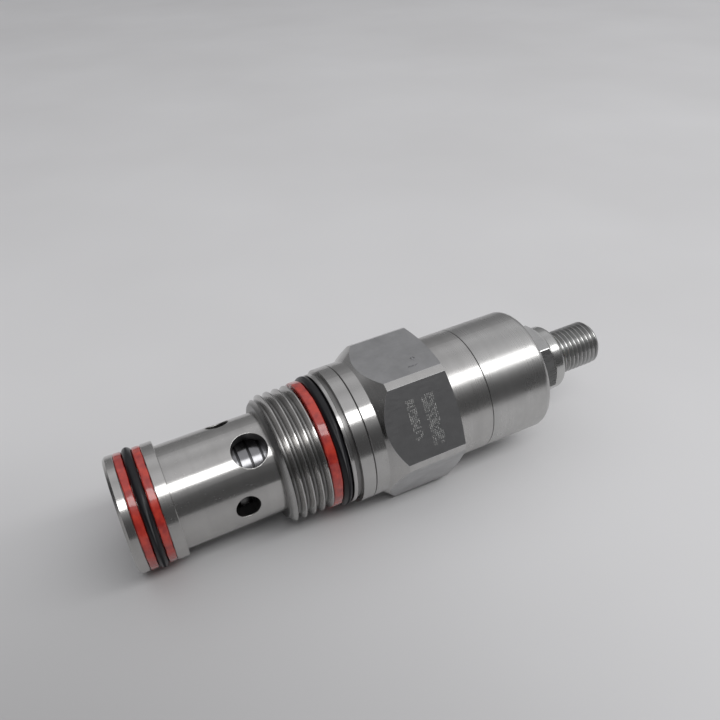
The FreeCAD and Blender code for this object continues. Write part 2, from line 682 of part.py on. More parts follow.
def make_main_piston():
    outline = [
        (main_seat, piston_radius - s.piston_edge),
        (main_seat + s.piston_edge, piston_radius),
    ]
    groove_floor = piston_radius - s.balance_groove_depth
    for index in range(BALANCE_GROOVE_COUNT):
        front = main_seat + s.balance_groove_first + index * s.balance_groove_pitch
        rear = front + s.balance_groove_width
        outline += [(front, piston_radius), (front, groove_floor)]
        outline += [(rear, groove_floor), (rear, piston_radius)]
    rear_end = main_seat + s.piston_length
    recess_floor = main_seat + s.screen_recess_depth
    outline += [
        (rear_end - s.piston_edge, piston_radius),
        (rear_end, piston_radius - s.piston_edge),
        (rear_end, cup_radius),
        (cup_floor, cup_radius),
        (cup_floor, s.plug_diameter / 2),
        (recess_floor, s.plug_diameter / 2),
        (recess_floor, s.screen_recess_diameter / 2),
        (main_seat, s.screen_recess_diameter / 2),
    ]
    return turned_body("main_piston", outline)


def make_orifice_plug():
    plug_radius = s.plug_diameter / 2 - s.seal_clearance
    front = main_seat + s.screen_recess_depth
    blank = turned_body("orifice_plug_turned", [
        (front, s.orifice_diameter / 2),
        (front, plug_radius),
        (cup_floor, plug_radius),
        (cup_floor, s.orifice_diameter / 2),
    ])
    slot = block(
        "orifice_plug_slot",
        (cup_floor - s.plug_slot_depth, -s.plug_slot_width / 2, -s.plug_diameter / 2),
        (s.plug_slot_depth, s.plug_slot_width, s.plug_diameter),
    )
    return cut_away("orifice_plug", blank, slot)


def make_filter_screen():
    """A perforated disc: a middle hole and rings of holes round it."""
    rear = main_seat + s.screen_recess_depth
    front = rear - s.screen_thickness
    disc = turned_body("filter_screen", [
        (front, s.screen_hole_diameter / 2),
        (front, s.screen_recess_diameter / 2 - s.seal_clearance),
        (rear, s.screen_recess_diameter / 2 - s.seal_clearance),
        (rear, s.screen_hole_diameter / 2),
    ])
    for ring, count in enumerate(SCREEN_RING_HOLES, start=1):
        name = f"ring_{ring}"
        sketch = new_sketch(disc, name, "YZ_Plane")
        distance = s.screen_hole_pitch * ring
        hole_radius = s.screen_hole_diameter / 2
        centre = Vector(distance.value, 0, 0)
        sketch.addGeometry(Part.Circle(centre, Vector(0, 0, 1), hole_radius.value), False)
        pin_vertex(sketch, 0, 3, distance, 0)
        constraint = sketch.addConstraint(Sketcher.Constraint("Radius", 0, hole_radius.value))
        bind(sketch, f"Constraints[{constraint}]", hole_radius)
        pocket = disc.newObject("PartDesign::Pocket", f"filter_screen_{name}_hole")
        pocket.Profile = sketch
        pocket.Reversed = False
        bind(pocket, "Length", s.main_seat_reach)  # from the origin's plane through the disc
        repeat_round(disc, name, pocket, count)
    return disc


def make_screen_ring():
    rear = main_seat + s.screen_recess_depth - s.screen_thickness
    outer = s.screen_recess_diameter / 2 - s.seal_clearance
    return turned_body("screen_retaining_ring", [
        (rear - s.screen_ring_thickness, outer - s.screen_ring_width),
        (rear - s.screen_ring_thickness, outer),
        (rear, outer),
        (rear, outer - s.screen_ring_width),
    ], 360 - RING_GAP_DEGREES)


def make_piston_spring():
    return coil_spring(
        "piston_spring", cup_floor, sleeve_tail,
        cup_radius - s.spring_room - s.piston_spring_wire / 2, s.piston_spring_wire, s.piston_spring_turns,
    )


# ---------------------------------------------------------------- pilot stage

def carrier_seal_radius():
    """The face seal presses on the middle of the sleeve's tail."""
    return (piston_bore_radius + sleeve_radius) / 2


def make_seat_carrier():
    seal_half = s.carrier_seal_section / 2 + s.carrier_seal_room / 2
    seal_mean = carrier_seal_radius()
    seal_floor = sleeve_tail + s.carrier_seal_section + s.seal_clearance
    return turned_body("seat_carrier", [
        (sleeve_tail, s.carrier_passage / 2),
        (sleeve_tail, seal_mean - seal_half),
        (seal_floor, seal_mean - seal_half),
        (seal_floor, seal_mean + seal_half),
        (sleeve_tail, seal_mean + seal_half),
        (sleeve_tail, sleeve_radius),
        (s.chamber_front_reach, sleeve_radius),
        (s.chamber_front_reach, pilot_seat_radius),
        (seat_pocket_floor, pilot_seat_radius),
        (seat_pocket_floor, s.carrier_passage / 2),
    ])


def make_carrier_seal():
    section_radius = s.carrier_seal_section / 2
    x = sleeve_tail + section_radius + s.seal_clearance / 2
    return ring_seal("carrier_oring", x, carrier_seal_radius(), section_radius)


def make_pilot_seat():
    outer = pilot_seat_radius - s.seal_clearance
    orifice_front = seat_face - s.pilot_orifice_length
    return turned_body("pilot_seat", [
        (seat_pocket_floor, s.carrier_passage / 2),
        (seat_pocket_floor, outer),
        (seat_face, outer),
        (seat_face, pilot_orifice_radius),
        (orifice_front, pilot_orifice_radius),
        (orifice_front, s.carrier_passage / 2),
    ])


def make_pilot_poppet():
    spigot_end = flange_rear + s.spring_spigot_length
    return turned_body("pilot_poppet", [
        (poppet_tip, 0),
        (poppet_tip, s.poppet_tip_diameter / 2),
        (poppet_cone_end, s.poppet_stem_diameter / 2),
        (flange_front, s.poppet_stem_diameter / 2),
        (flange_front, poppet_flange_radius),
        (flange_rear, poppet_flange_radius),
        (flange_rear, spring_spigot_radius),
        (spigot_end - s.spigot_edge, spring_spigot_radius),
        (spigot_end, spring_spigot_radius - s.spigot_edge),
        (spigot_end, 0),
    ])


def make_spring_pad():
    spigot_end = pad_front - s.spring_spigot_length
    pad_radius = bonnet_bore_radius - s.pad_room
    return turned_body("spring_pad", [
        (spigot_end, 0),
        (spigot_end, spring_spigot_radius - s.spigot_edge),
        (spigot_end + s.spigot_edge, spring_spigot_radius),
        (pad_front, spring_spigot_radius),
        (pad_front, pad_radius),
        (pad_rear, pad_radius),
        (pad_rear, 0),
    ])


def make_pilot_spring():
    return coil_spring(
        "pilot_spring", flange_rear, pad_front,
        pilot_spring_radius, s.pilot_spring_wire, s.pilot_spring_turns,
    )


# ---------------------------------------------------------------- bonnet and adjusting screw

def make_bonnet():
    gland_rear = s.tail_reach - s.bonnet_gland_setback
    gland_floor = spigot_bore_radius - s.bonnet_oring_section - 2 * s.seal_clearance
    body = turned_body("bonnet", [
        (spigot_floor + s.spigot_gap, bonnet_bore_radius),
        (spigot_floor + s.spigot_gap, spigot_radius),
        (gland_rear - s.bonnet_gland_width, spigot_radius),
        (gland_rear - s.bonnet_gland_width, gland_floor),
        (gland_rear, gland_floor),
        (gland_rear, spigot_radius),
        (s.tail_reach, spigot_radius),
        (s.tail_reach, tail_radius - s.seam_edge),
        (s.tail_reach + s.seam_edge, tail_radius),
        (bonnet_end, tail_radius),
        (bonnet_end, screw_bore_radius),
        (bonnet_inside, screw_bore_radius),
        (bonnet_inside, bonnet_bore_radius),
    ])
    round_rim(body, "end_rounding", bonnet_end, tail_radius, s.bonnet_end_radius)
    return body


def make_bonnet_seal():
    section_radius = s.bonnet_oring_section / 2
    x = s.tail_reach - s.bonnet_gland_setback - s.bonnet_gland_width / 2
    mean_radius = spigot_bore_radius - section_radius - s.seal_clearance
    return ring_seal("bonnet_oring", x, mean_radius, section_radius)


def head_gland_floor():
    return bonnet_bore_radius - s.head_oring_section - 3 * s.seal_clearance


def make_adjusting_screw():
    undercut_radius = screw_radius - s.undercut_depth
    body = turned_body("adjusting_screw_turned", [
        (pad_rear, 0),
        (pad_rear, s.screw_tip_diameter / 2),
        (head_front, s.screw_tip_diameter / 2),
        (head_front, head_radius),
        (head_front + s.head_land, head_radius),
        (head_front + s.head_land, head_gland_floor()),
        (head_rear - s.head_land, head_gland_floor()),
        (head_rear - s.head_land, head_radius),
        (head_rear, head_radius),
        (head_rear, undercut_radius),
        (undercut_end, undercut_radius),
        (undercut_end, screw_radius),
        (screw_end - s.screw_end_chamfer, screw_radius),
        (screw_end, screw_radius - s.screw_end_chamfer),
        (screw_end, 0),
    ])
    cut_start = (head_rear + undercut_end) / 2
    cut_length = screw_end + THREAD_RUNOUT_TURNS * s.screw_pitch - cut_start
    cut_thread(body, cut_start, cut_length, screw_radius, s.screw_pitch)
    key_floor = screw_end - s.key_depth
    key = hex_bar("adjusting_screw_key", key_floor, s.key_depth, s.key_across_flats / 2, as_size(0))
    return cut_away("adjusting_screw", body, key)


def make_head_seals():
    """The O-ring sits on the oil side of its gland, with the backup ring behind it."""
    section = s.head_oring_section
    outer = bonnet_bore_radius - s.seal_clearance * 2
    gland_front_wall = head_front + s.head_land
    gland_rear_wall = head_rear - s.head_land
    oring_x = gland_front_wall + section / 2 + s.seal_clearance
    oring = ring_seal("adjuster_oring", oring_x, outer - section / 2, section / 2)
    backup = turned_body("adjuster_backup_ring", [
        (oring_x + section / 2 + s.seal_clearance, head_gland_floor() + s.seal_clearance),
        (oring_x + section / 2 + s.seal_clearance, outer),
        (gland_rear_wall - s.seal_clearance, outer),
        (gland_rear_wall - s.seal_clearance, head_gland_floor() + s.seal_clearance),
    ])
    return [oring, backup]


# ---------------------------------------------------------------- locknut

def make_locknut():
    """Hexagon with a round collar, whose rim is rolled over the locking insert."""
    hex_end = bonnet_end + s.nut_hex_height
    collar_front = hex_end + nut_corner_radius - nut_collar_radius
    insert_rear = nut_end - s.insert_lip
    insert_front = insert_rear - s.insert_thickness
    turned = turned_body("locknut_turned", [
        (bonnet_end, screw_bore_radius),
        (bonnet_end, nut_collar_radius),
        (bonnet_end + s.nut_face_chamfer, nut_corner_radius),
        (hex_end, nut_corner_radius),
        (collar_front, nut_collar_radius),
        (nut_end, nut_collar_radius),
        (nut_end, screw_radius + s.insert_reveal),
        (insert_rear, screw_radius + s.insert_reveal),
        (insert_rear, screw_radius + s.insert_width),
        (insert_front, screw_radius + s.insert_width),
        (insert_front, screw_bore_radius),
    ])
    round_rim(turned, "rim", nut_end, nut_collar_radius, s.nut_rim_radius)
    return mill_hexagon(
        "locknut", turned, bonnet_end, collar_front - bonnet_end,
        nut_flat_radius, nut_corner_radius, s.nut_turn,
    )


def make_locknut_insert():
    rear = nut_end - s.insert_lip
    outer = screw_radius + s.insert_width - s.seal_clearance
    return turned_body("locknut_insert", [
        (rear - s.insert_thickness, screw_bore_radius),
        (rear - s.insert_thickness, outer),
        (rear, outer),
        (rear, screw_bore_radius),
    ])


# ---------------------------------------------------------------- build, check and write

def make_all():
    return [
        make_valve_sleeve(), *make_nose_seals(), make_snap_ring(),
        make_hex_adapter(), *make_shoulder_seals(),
        make_main_piston(), make_orifice_plug(), make_filter_screen(), make_screen_ring(),
        make_piston_spring(),
        make_seat_carrier(), make_carrier_seal(), make_pilot_seat(), make_pilot_poppet(),
        make_pilot_spring(), make_spring_pad(),
        make_bonnet(), make_bonnet_seal(), make_adjusting_screw(), *make_head_seals(),
        make_locknut(), make_locknut_insert(),
    ]


def check(pieces):
    """Stop before anything is written if an object failed or a piece isn't one closed solid."""
    for item in doc.Objects:
        for word in ("Invalid", "Error"):
            if word in item.State:
                raise RuntimeError(f"{item.Name} did not recompute: {item.State}")
    for piece in pieces:
        shape = piece.Shape
        if shape.isNull() or not shape.isValid() or len(shape.Solids) != 1:
            raise RuntimeError(f"{piece.Label} is not one valid solid")


pieces = make_all()
doc.recompute()
check(pieces)
os.makedirs("parts", exist_ok=True)
for piece in pieces:
    piece.Shape.exportStep(os.path.join("parts", f"{piece.Label}.step"))
    box = piece.Shape.BoundBox
    print(f"{piece.Label:24s} {piece.Shape.Volume:9.1f} mm3   x {box.XMin:7.2f} to {box.XMax:7.2f}")
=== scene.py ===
# %% [markdown]
# # A pilot-operated relief cartridge on a pale bench
# The valve's body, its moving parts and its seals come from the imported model, which is the frame. This
# lesson gives each of them its finish, and makes the pieces that are wound, swept or punched.
# Everything is in metres. X runs along the valve, from its nose to its adjusting screw, and Z is up.

# %% Load the frame
import json
import math
from collections import namedtuple

import bpy
from mathutils import Matrix, Vector


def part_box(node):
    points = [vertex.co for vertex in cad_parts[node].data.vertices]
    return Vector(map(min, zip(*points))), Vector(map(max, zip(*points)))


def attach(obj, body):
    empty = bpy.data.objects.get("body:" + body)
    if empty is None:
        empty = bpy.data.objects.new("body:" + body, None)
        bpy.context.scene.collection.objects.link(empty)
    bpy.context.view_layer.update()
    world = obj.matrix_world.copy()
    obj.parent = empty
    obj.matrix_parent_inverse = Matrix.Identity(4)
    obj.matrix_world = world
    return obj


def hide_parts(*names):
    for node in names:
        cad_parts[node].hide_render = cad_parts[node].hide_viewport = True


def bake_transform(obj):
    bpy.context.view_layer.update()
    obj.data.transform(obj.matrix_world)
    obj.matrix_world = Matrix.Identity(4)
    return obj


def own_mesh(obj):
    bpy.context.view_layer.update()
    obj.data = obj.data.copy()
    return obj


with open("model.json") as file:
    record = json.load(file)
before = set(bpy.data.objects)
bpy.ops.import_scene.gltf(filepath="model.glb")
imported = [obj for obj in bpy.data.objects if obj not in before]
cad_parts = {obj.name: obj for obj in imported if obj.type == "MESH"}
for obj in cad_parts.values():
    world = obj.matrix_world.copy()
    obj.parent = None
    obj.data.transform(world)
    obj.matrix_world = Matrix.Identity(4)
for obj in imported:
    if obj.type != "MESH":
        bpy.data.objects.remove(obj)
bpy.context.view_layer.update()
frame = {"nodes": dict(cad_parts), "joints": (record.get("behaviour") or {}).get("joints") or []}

nodes = frame["nodes"]
MM = 0.001

# %% [markdown]
# ## Where things are
# A turned part is known by where it starts and ends along the axis and by its two radii. Reading them from
# the frame keeps every new piece in step with the model: if a gland moves there, its seal moves here.

# %% Measure a turned part
def span(name):
    """Where a part starts and ends along the axis."""
    low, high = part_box(name)
    return low.x, high.x


def radii(name):
    """The smallest and largest distance of a part's surface from the axis."""
    reach = [math.hypot(v.co.y, v.co.z) for v in nodes[name].data.vertices]
    return min(reach), max(reach)


for name in ("nose_oring", "nose_backup_front", "shoulder_oring", "shoulder_backup_ring"):
    (start, end), (inner, outer) = span(name), radii(name)
    print(f"{name}: x {start / MM:.2f} to {end / MM:.2f}, r {inner / MM:.2f} to {outer / MM:.2f} mm")

# %% [markdown]
# ## The camera
# A valve this small is looked at from close above, about 35 degrees down, with its nose towards the lower
# left. The camera is turned a little about its own line of sight, as a hand-held one is. It is aimed at a
# point just above the hex, and that turn is added after the aim.

# %% Stand the camera
CAMERA_AT = Vector((-35.8, -105.97, 96.09)) * MM
AIMED_AT = Vector((7.27, 0, 15.74)) * MM
CAMERA_ROLL = math.radians(-5.884)
LENS, SENSOR = 36.9, 36.0  # millimetres

forward = (AIMED_AT - CAMERA_AT).normalized()
level = forward.cross(Vector((0, 0, 1))).normalized()
upright = level.cross(forward)
across = level * math.cos(CAMERA_ROLL) + upright * math.sin(CAMERA_ROLL)
above = across.cross(forward)

camera = bpy.data.objects.new("bench_camera", bpy.data.cameras.new("bench_camera"))
camera.data.lens, camera.data.sensor_width = LENS, SENSOR
camera.data.clip_start, camera.data.clip_end = 5 * MM, 20
turned = Matrix((across, above, -forward)).transposed().to_4x4()
camera.matrix_world = Matrix.Translation(CAMERA_AT) @ turned
bpy.context.scene.collection.objects.link(camera)
bpy.context.scene.camera = camera
print(f"the camera stands {(AIMED_AT - CAMERA_AT).length / MM:.0f} mm from what it is aimed at")

# %% [markdown]
# ## A few words for building shaders
# A node tree is easier to read as formulas than as boxes. These helpers add one node and hand back its
# output, so that a finish further down reads like the sentence that describes it.

# %% Helpers for node trees
def add(tree, kind, inputs=(), **settings):
    """Add a node; inputs are (socket, value or output) pairs. Returns its first output."""
    node = tree.nodes.new(kind)
    for key, value in settings.items():
        setattr(node, key, value)
    for socket, value in dict(inputs).items():
        plug(tree, node.inputs[socket], value)
    return node.outputs[0] if node.outputs else node


def plug(tree, socket, value):
    """Link an output to a socket, or set the socket to a plain value."""
    if isinstance(value, bpy.types.NodeSocket):
        tree.links.new(value, socket)
    else:
        socket.default_value = value


def compute(tree, operation, *values):
    """One step of arithmetic."""
    return add(tree, "ShaderNodeMath", enumerate(values), operation=operation)


def rescale(tree, value, low, high, to_low=0.0, to_high=1.0, smooth=False):
    """Carry a value from one range to another, without leaving it."""
    return add(tree, "ShaderNodeMapRange", enumerate((value, low, high, to_low, to_high)),
               interpolation_type="SMOOTHSTEP" if smooth else "LINEAR")


def blend_colours(tree, share, first, second):
    """The first colour where share is 0, the second where it is 1."""
    node = tree.nodes.new("ShaderNodeMix")
    node.data_type = "RGBA"
    for socket, value in ((0, share), (6, first), (7, second)):
        plug(tree, node.inputs[socket], value)
    return node.outputs[2]


def blend_numbers(tree, share, first, second):
    return add(tree, "ShaderNodeMix", {0: share, 2: first, 3: second})


def source_of(socket):
    """The output that is linked to a socket."""
    return socket.links[0].from_socket


# %% [markdown]
# ## Bench and light
# Bright metal has hardly a colour of its own: it shows the room. The room here is a long soft light above
# and in front of the valve, a pale ceiling, and dimmer walls, and those three make the bright streak and
# the dark band that run along every cylinder. The valve is nose-heavy as it lies, so it touches the bench
# with its nose O-ring and with the front edge of a hex flat, and the bench is tilted to meet both.

# %% The bench
FLAT_FRONT = 6.04 * MM  # where a hex flat starts behind the front chamfer
BENCH_WIDTH, BENCH_DEPTH = 3.0, 2.0
BENCH_FRONT = -0.15  # where the bench ends in front of the valve

ring_start, ring_end = span("nose_oring")
nose_touch = Vector(((ring_start + ring_end) / 2, 0, -radii("nose_oring")[1]))
hex_touch = Vector((FLAT_FRONT, 0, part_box("hex_adapter")[0].z))
tilt = math.atan2(nose_touch.z - hex_touch.z, hex_touch.x - nose_touch.x)
print(f"the valve lies {math.degrees(tilt):.2f} degrees nose down")

side, back = BENCH_WIDTH / 2, BENCH_FRONT + BENCH_DEPTH
corners = [(-side, BENCH_FRONT, 0), (side, BENCH_FRONT, 0), (side, back, 0), (-side, back, 0)]
sheet = bpy.data.meshes.new("bench")
sheet.from_pydata(corners, [], [(0, 1, 2, 3)])
bench = bpy.data.objects.new("bench", sheet)
bench.location, bench.rotation_euler = hex_touch, (0, tilt, 0)
bpy.context.scene.collection.objects.link(bench)

# %% [markdown]
# The bench is covered with matt card. Its tone clouds slowly from place to place and it has a fine tooth.
# In front of the nose a soft shade is painted into the card's tone, as if somebody leaned over it.

# %% The finish of the bench
CARD_TONES = ((0.712, 0.708, 0.712, 1), (0.762, 0.76, 0.766, 1))
TOOTH = 0.02 * MM
# SHADE_AT, SHADE_CORE, SHADE_REACH and SHADE_DEPTH place and size a painted shade in the card's tone
SHADE_AT = (-0.10, -0.085, 0.0)
SHADE_CORE, SHADE_REACH = 0.02, 0.17
SHADE_DEPTH = 0.56  # how much of the card's tone is left in the middle of the shade


def new_material(name):
    material = bpy.data.materials.new(name)
    material.use_nodes = True
    tree = material.node_tree
    return material, tree, tree.nodes["Principled BSDF"]


def object_coordinates(tree):
    return tree.nodes.new("ShaderNodeTexCoord").outputs["Object"]


card, tree, surface = new_material("matt_card")
place = object_coordinates(tree)
clouding = add(tree, "ShaderNodeTexNoise", {"Vector": place, "Scale": 9.0, "Detail": 3.0})
grain = add(tree, "ShaderNodeTexNoise", {"Vector": place, "Scale": 900.0, "Detail": 2.0})
tone = blend_colours(tree, rescale(tree, clouding, 0.3, 0.7), *CARD_TONES)
# painted shade: the card's tone is scaled down towards SHADE_AT
to_shade = add(tree, "ShaderNodeVectorMath", {0: place, 1: SHADE_AT}, operation="DISTANCE").node
painted_shade_factor = rescale(tree, to_shade.outputs["Value"], SHADE_CORE, SHADE_REACH, SHADE_DEPTH, 1.0, smooth=True)
card_tone_with_painted_shade = add(tree, "ShaderNodeVectorMath", {0: tone, 3: painted_shade_factor}, operation="SCALE")
plug(tree, surface.inputs["Base Color"], card_tone_with_painted_shade)
surface.inputs["Roughness"].default_value = 0.55
surface.inputs["Specular IOR Level"].default_value = 0.3
plug(tree, surface.inputs["Normal"],
     add(tree, "ShaderNodeBump", {"Height": grain, "Distance": TOOTH, "Strength": 0.3}))
bench.data.materials.append(card)
print(f"the shade reaches {SHADE_REACH / MM:.0f} mm and leaves {SHADE_DEPTH:.0%} of the card's tone")

# %% [markdown]
# The room could be a picture of a workshop wrapped round the bench, but a cylinder only smears it into
# bands along its length. So the room is a brightness for each direction round the valve's axis, which is
# what those bands show. It gets dim beyond the nose, and where the camera looks past the bench it sees a
# plain pale backdrop.

# %% The room, as light from each direction
# Degrees from overhead, positive towards the front of the bench, and how bright the room is there.
ROOM = (
    (-180, 0.30), (-90, 0.25), (-72, 0.28), (-60, 0.35), (-51, 0.46), (-37, 0.71), (-28, 0.67), (-15, 0.58),
    (0, 0.73), (10, 0.75), (20, 0.60), (45, 0.34), (51, 0.29), (60, 0.14), (72, 0.10), (94, 0.10),
    (120, 0.23), (180, 0.30),
)
COOLNESS = 1.02  # how much more blue than red and green there is in the room's light
BACKDROP = 0.56
DARK_END, LIT_END = (-0.85, 0.10), (-0.35, 1.0)  # how far a direction leans along X, and the share of light

world = bpy.data.worlds.new("room")
bpy.context.scene.world = world
world.use_nodes = True
tree = world.node_tree
tree.nodes.clear()
direction = tree.nodes.new("ShaderNodeTexCoord").outputs["Generated"]
toward = add(tree, "ShaderNodeSeparateXYZ", {0: direction}).node
frontward = compute(tree, "MULTIPLY", toward.outputs["Y"], -1.0)
from_overhead = compute(tree, "ARCTAN2", frontward, toward.outputs["Z"])
around = rescale(tree, from_overhead, -math.pi, math.pi)
ramp_colour = add(tree, "ShaderNodeValToRGB", {0: around})
ramp = ramp_colour.node.color_ramp
while len(ramp.elements) < len(ROOM):
    ramp.elements.new(0.5)
for element, (angle, brightness) in zip(ramp.elements, ROOM):
    element.position = (angle + 180) / 360
    element.color = (brightness, brightness, brightness * COOLNESS, 1)
end_wall = rescale(tree, toward.outputs["X"], DARK_END[0], LIT_END[0], DARK_END[1], LIT_END[1], smooth=True)
walls = add(tree, "ShaderNodeVectorMath", {0: ramp_colour, 3: end_wall}, operation="SCALE")
seen_directly = tree.nodes.new("ShaderNodeLightPath").outputs["Is Camera Ray"]
tone = blend_colours(tree, seen_directly, walls, (BACKDROP, BACKDROP, BACKDROP, 1))
background = add(tree, "ShaderNodeBackground", {"Color": tone})
tree.links.new(background, tree.nodes.new("ShaderNodeOutputWorld").inputs[0])
print("the room has", len(ROOM), "steps of brightness")

# %% [markdown]
# The bright streak is a long narrow panel of light over the front of the bench. It is a real light and not
# a step of the room, because it also has to lay the valve's soft shadow on the card. It runs on past the
# adjusting screw, so that the streak doesn't end on the bonnet.

# %% The long soft light
LIGHT_ANGLE = math.radians(30.5)  # from overhead, towards the front
LIGHT_DISTANCE = 1.0
LIGHT_LENGTH, LIGHT_WIDTH = 2.2, 0.30
LIGHT_OFFSET = 0.8  # towards the adjusting screw
LIGHT_POWER = 8.2  # watts

lamp_data = bpy.data.lights.new("long_soft_light", "AREA")
lamp_data.shape = "RECTANGLE"
lamp_data.size, lamp_data.size_y = LIGHT_LENGTH, LIGHT_WIDTH
lamp_data.energy = LIGHT_POWER
lamp = bpy.data.objects.new("long_soft_light", lamp_data)
in_front, above_bench = math.sin(LIGHT_ANGLE) * LIGHT_DISTANCE, math.cos(LIGHT_ANGLE) * LIGHT_DISTANCE
lamp.location = (LIGHT_OFFSET, -in_front, above_bench)
lamp.rotation_euler = (LIGHT_ANGLE, 0, 0)
lamp.visible_camera = False
bpy.context.scene.collection.objects.link(lamp)
bpy.context.scene.view_settings.view_transform = "Standard"  # highlights stay as crisp as on real steel
cover = 2 * math.degrees(math.atan(LIGHT_WIDTH / 2 / LIGHT_DISTANCE))
print(f"the light covers {cover:.0f} degrees of the room")

# %% [markdown]
# ## Turned and plated steel
# The sleeve, adapter and bonnet are turned from bar on a lathe and then zinc plated. The tool leaves a
# very fine thread of feed lines round the part, so light is blurred along the axis and stays sharp round
# it. Modelled lines would need millions of faces. Stretching the gloss does the same: a radial tangent
# about X, and the anisotropy turned by a quarter. The lines that can just be seen are a one-dimensional
# noise of X, which runs round the part by itself.

# %% The turned finish
ACROSS_THE_LINES = 0.25  # a quarter turn of the stretched gloss
BAND_PITCH = 1.9 * MM  # slow bands, where the plating took a little more or less
LINE_DEPTH = 0.004 * MM
SCUFF_SIZES = (0.3, 1.0, 1.0)  # scuffs are drawn out along the axis

Finish = namedtuple("Finish", "material tree surface place")


def axis_tangent(tree):
    node = tree.nodes.new("ShaderNodeTangent")
    node.direction_type, node.axis = "RADIAL", "X"
    return node.outputs[0]


def feed_lines(tree, x, pitch, detail=2.0):
    """Noise that changes only along the axis, at the spacing of the tool marks."""
    steps = compute(tree, "MULTIPLY", x, 1 / pitch)
    return add(tree, "ShaderNodeTexNoise", {
        "W": steps, "Scale": 1.0, "Detail": detail}, noise_dimensions="1D")


def handling_marks(tree, place, scale):
    """Short fine scuffs: noise stretched along the axis, with only its peaks kept."""
    stretched = add(tree, "ShaderNodeMapping", {"Vector": place, "Scale": SCUFF_SIZES})
    noise = add(tree, "ShaderNodeTexNoise", {
        "Vector": stretched, "Scale": scale, "Detail": 2.0, "Roughness": 0.7})
    return rescale(tree, noise, 0.64, 0.74)


def turned_steel(name, colour, gloss, pitch=0.17 * MM, cut=0.5, stretch=0.6):
    """Steel with feed lines round X. A larger gloss is more satin, cut is how strongly the lines show, and
    stretch is how much further they spread the light along the axis than round it."""
    material, tree, surface = new_material(name)
    place = object_coordinates(tree)
    x = add(tree, "ShaderNodeSeparateXYZ", {0: place})
    lines = feed_lines(tree, x, pitch)
    bands = feed_lines(tree, x, BAND_PITCH, 1.0)
    film = add(tree, "ShaderNodeTexNoise", {
        "Vector": place, "Scale": 190.0, "Detail": 4.0, "Roughness": 0.6})
    scuffs = handling_marks(tree, place, 2600.0)
    share = compute(tree, "ADD", rescale(tree, film, 0.35, 0.7, 0.0, 0.55),
                    rescale(tree, bands, 0.3, 0.7, 0.0, 0.35))
    dull = tuple(0.86 * c for c in colour)
    plug(tree, surface.inputs["Base Color"], blend_colours(tree, share, (*colour, 1), (*dull, 1)))
    rough = compute(tree, "ADD", rescale(tree, film, 0.3, 0.7, gloss - 0.03, gloss + 0.05),
                    rescale(tree, lines, 0.3, 0.7, -0.02, 0.03))
    rough = compute(tree, "ADD", rough, compute(tree, "MULTIPLY", scuffs, 0.08))
    plug(tree, surface.inputs["Roughness"], rough)
    surface.inputs["Metallic"].default_value = 1.0
    surface.inputs["Anisotropic"].default_value = stretch
    surface.inputs["Anisotropic Rotation"].default_value = ACROSS_THE_LINES
    plug(tree, surface.inputs["Tangent"], axis_tangent(tree))
    height = compute(tree, "SUBTRACT", lines, compute(tree, "MULTIPLY", scuffs, 0.6))
    plug(tree, surface.inputs["Normal"],
         add(tree, "ShaderNodeBump", {"Height": height, "Distance": LINE_DEPTH, "Strength": cut}))
    return Finish(material, tree, surface, place)


sleeve_steel = turned_steel("turned_sleeve", (0.52, 0.512, 0.50), 0.195, cut=0.4)
bonnet_steel = turned_steel("turned_bonnet", (0.525, 0.521, 0.512), 0.285, cut=0.22)
print("turned finishes:", sleeve_steel.material.name, bonnet_steel.material.name)

# %% [markdown]
# ## Dirt and painted shade in the grooves
# Oil and fine dirt stay where a cloth can't reach, in the seam where two parts meet and in a scribed line. On
# the walls of drilled holes, in the relief and in the piston's grooves the darkening is painted shade, where
# the walls would keep the light out, and in thread roots it is both dirt and painted shade. It could be
# painted on by hand, but a point there always lies nearer to the axis than the crests round it. So its
# distance from the axis finds every such place, and the finish is darker and duller there.

# %% Dirt and painted shade by distance from the axis
def from_axis(tree, place):
    """A point's distance from the X axis."""
    square = add(tree, "ShaderNodeVectorMath", {0: place, 1: (0, 1, 1)}, operation="MULTIPLY")
    return add(tree, "ShaderNodeVectorMath", {0: square}, operation="LENGTH").node.outputs["Value"]


def darken(finish, share, shade, extra_roughness):
    """Multiply the colour by shade, and add roughness, where share is 1."""
    tree, inputs = finish.tree, finish.surface.inputs
    tone, roughness = inputs["Base Color"], inputs["Roughness"]
    clean = source_of(tone)
    dark = add(tree, "ShaderNodeVectorMath", {0: clean, 3: shade}, operation="SCALE")
    plug(tree, tone, blend_colours(tree, share, clean, dark))
    rougher = compute(tree, "MULTIPLY", share, extra_roughness)
    plug(tree, roughness, compute(tree, "ADD", source_of(roughness), rougher))


def in_groove(tree, place, start, end, crest, depth):
    """1 at the bottom of a groove or thread between start and end, 0 on its crests and outside it."""
    x = add(tree, "ShaderNodeSeparateXYZ", {0: place})
    deep = rescale(tree, from_axis(tree, place), crest - depth, crest - 0.1 * depth, 1.0, 0.0)
    past_start = compute(tree, "GREATER_THAN", x, start)
    before_end = compute(tree, "LESS_THAN", x, end)
    return compute(tree, "MULTIPLY", deep, compute(tree, "MULTIPLY", past_start, before_end))


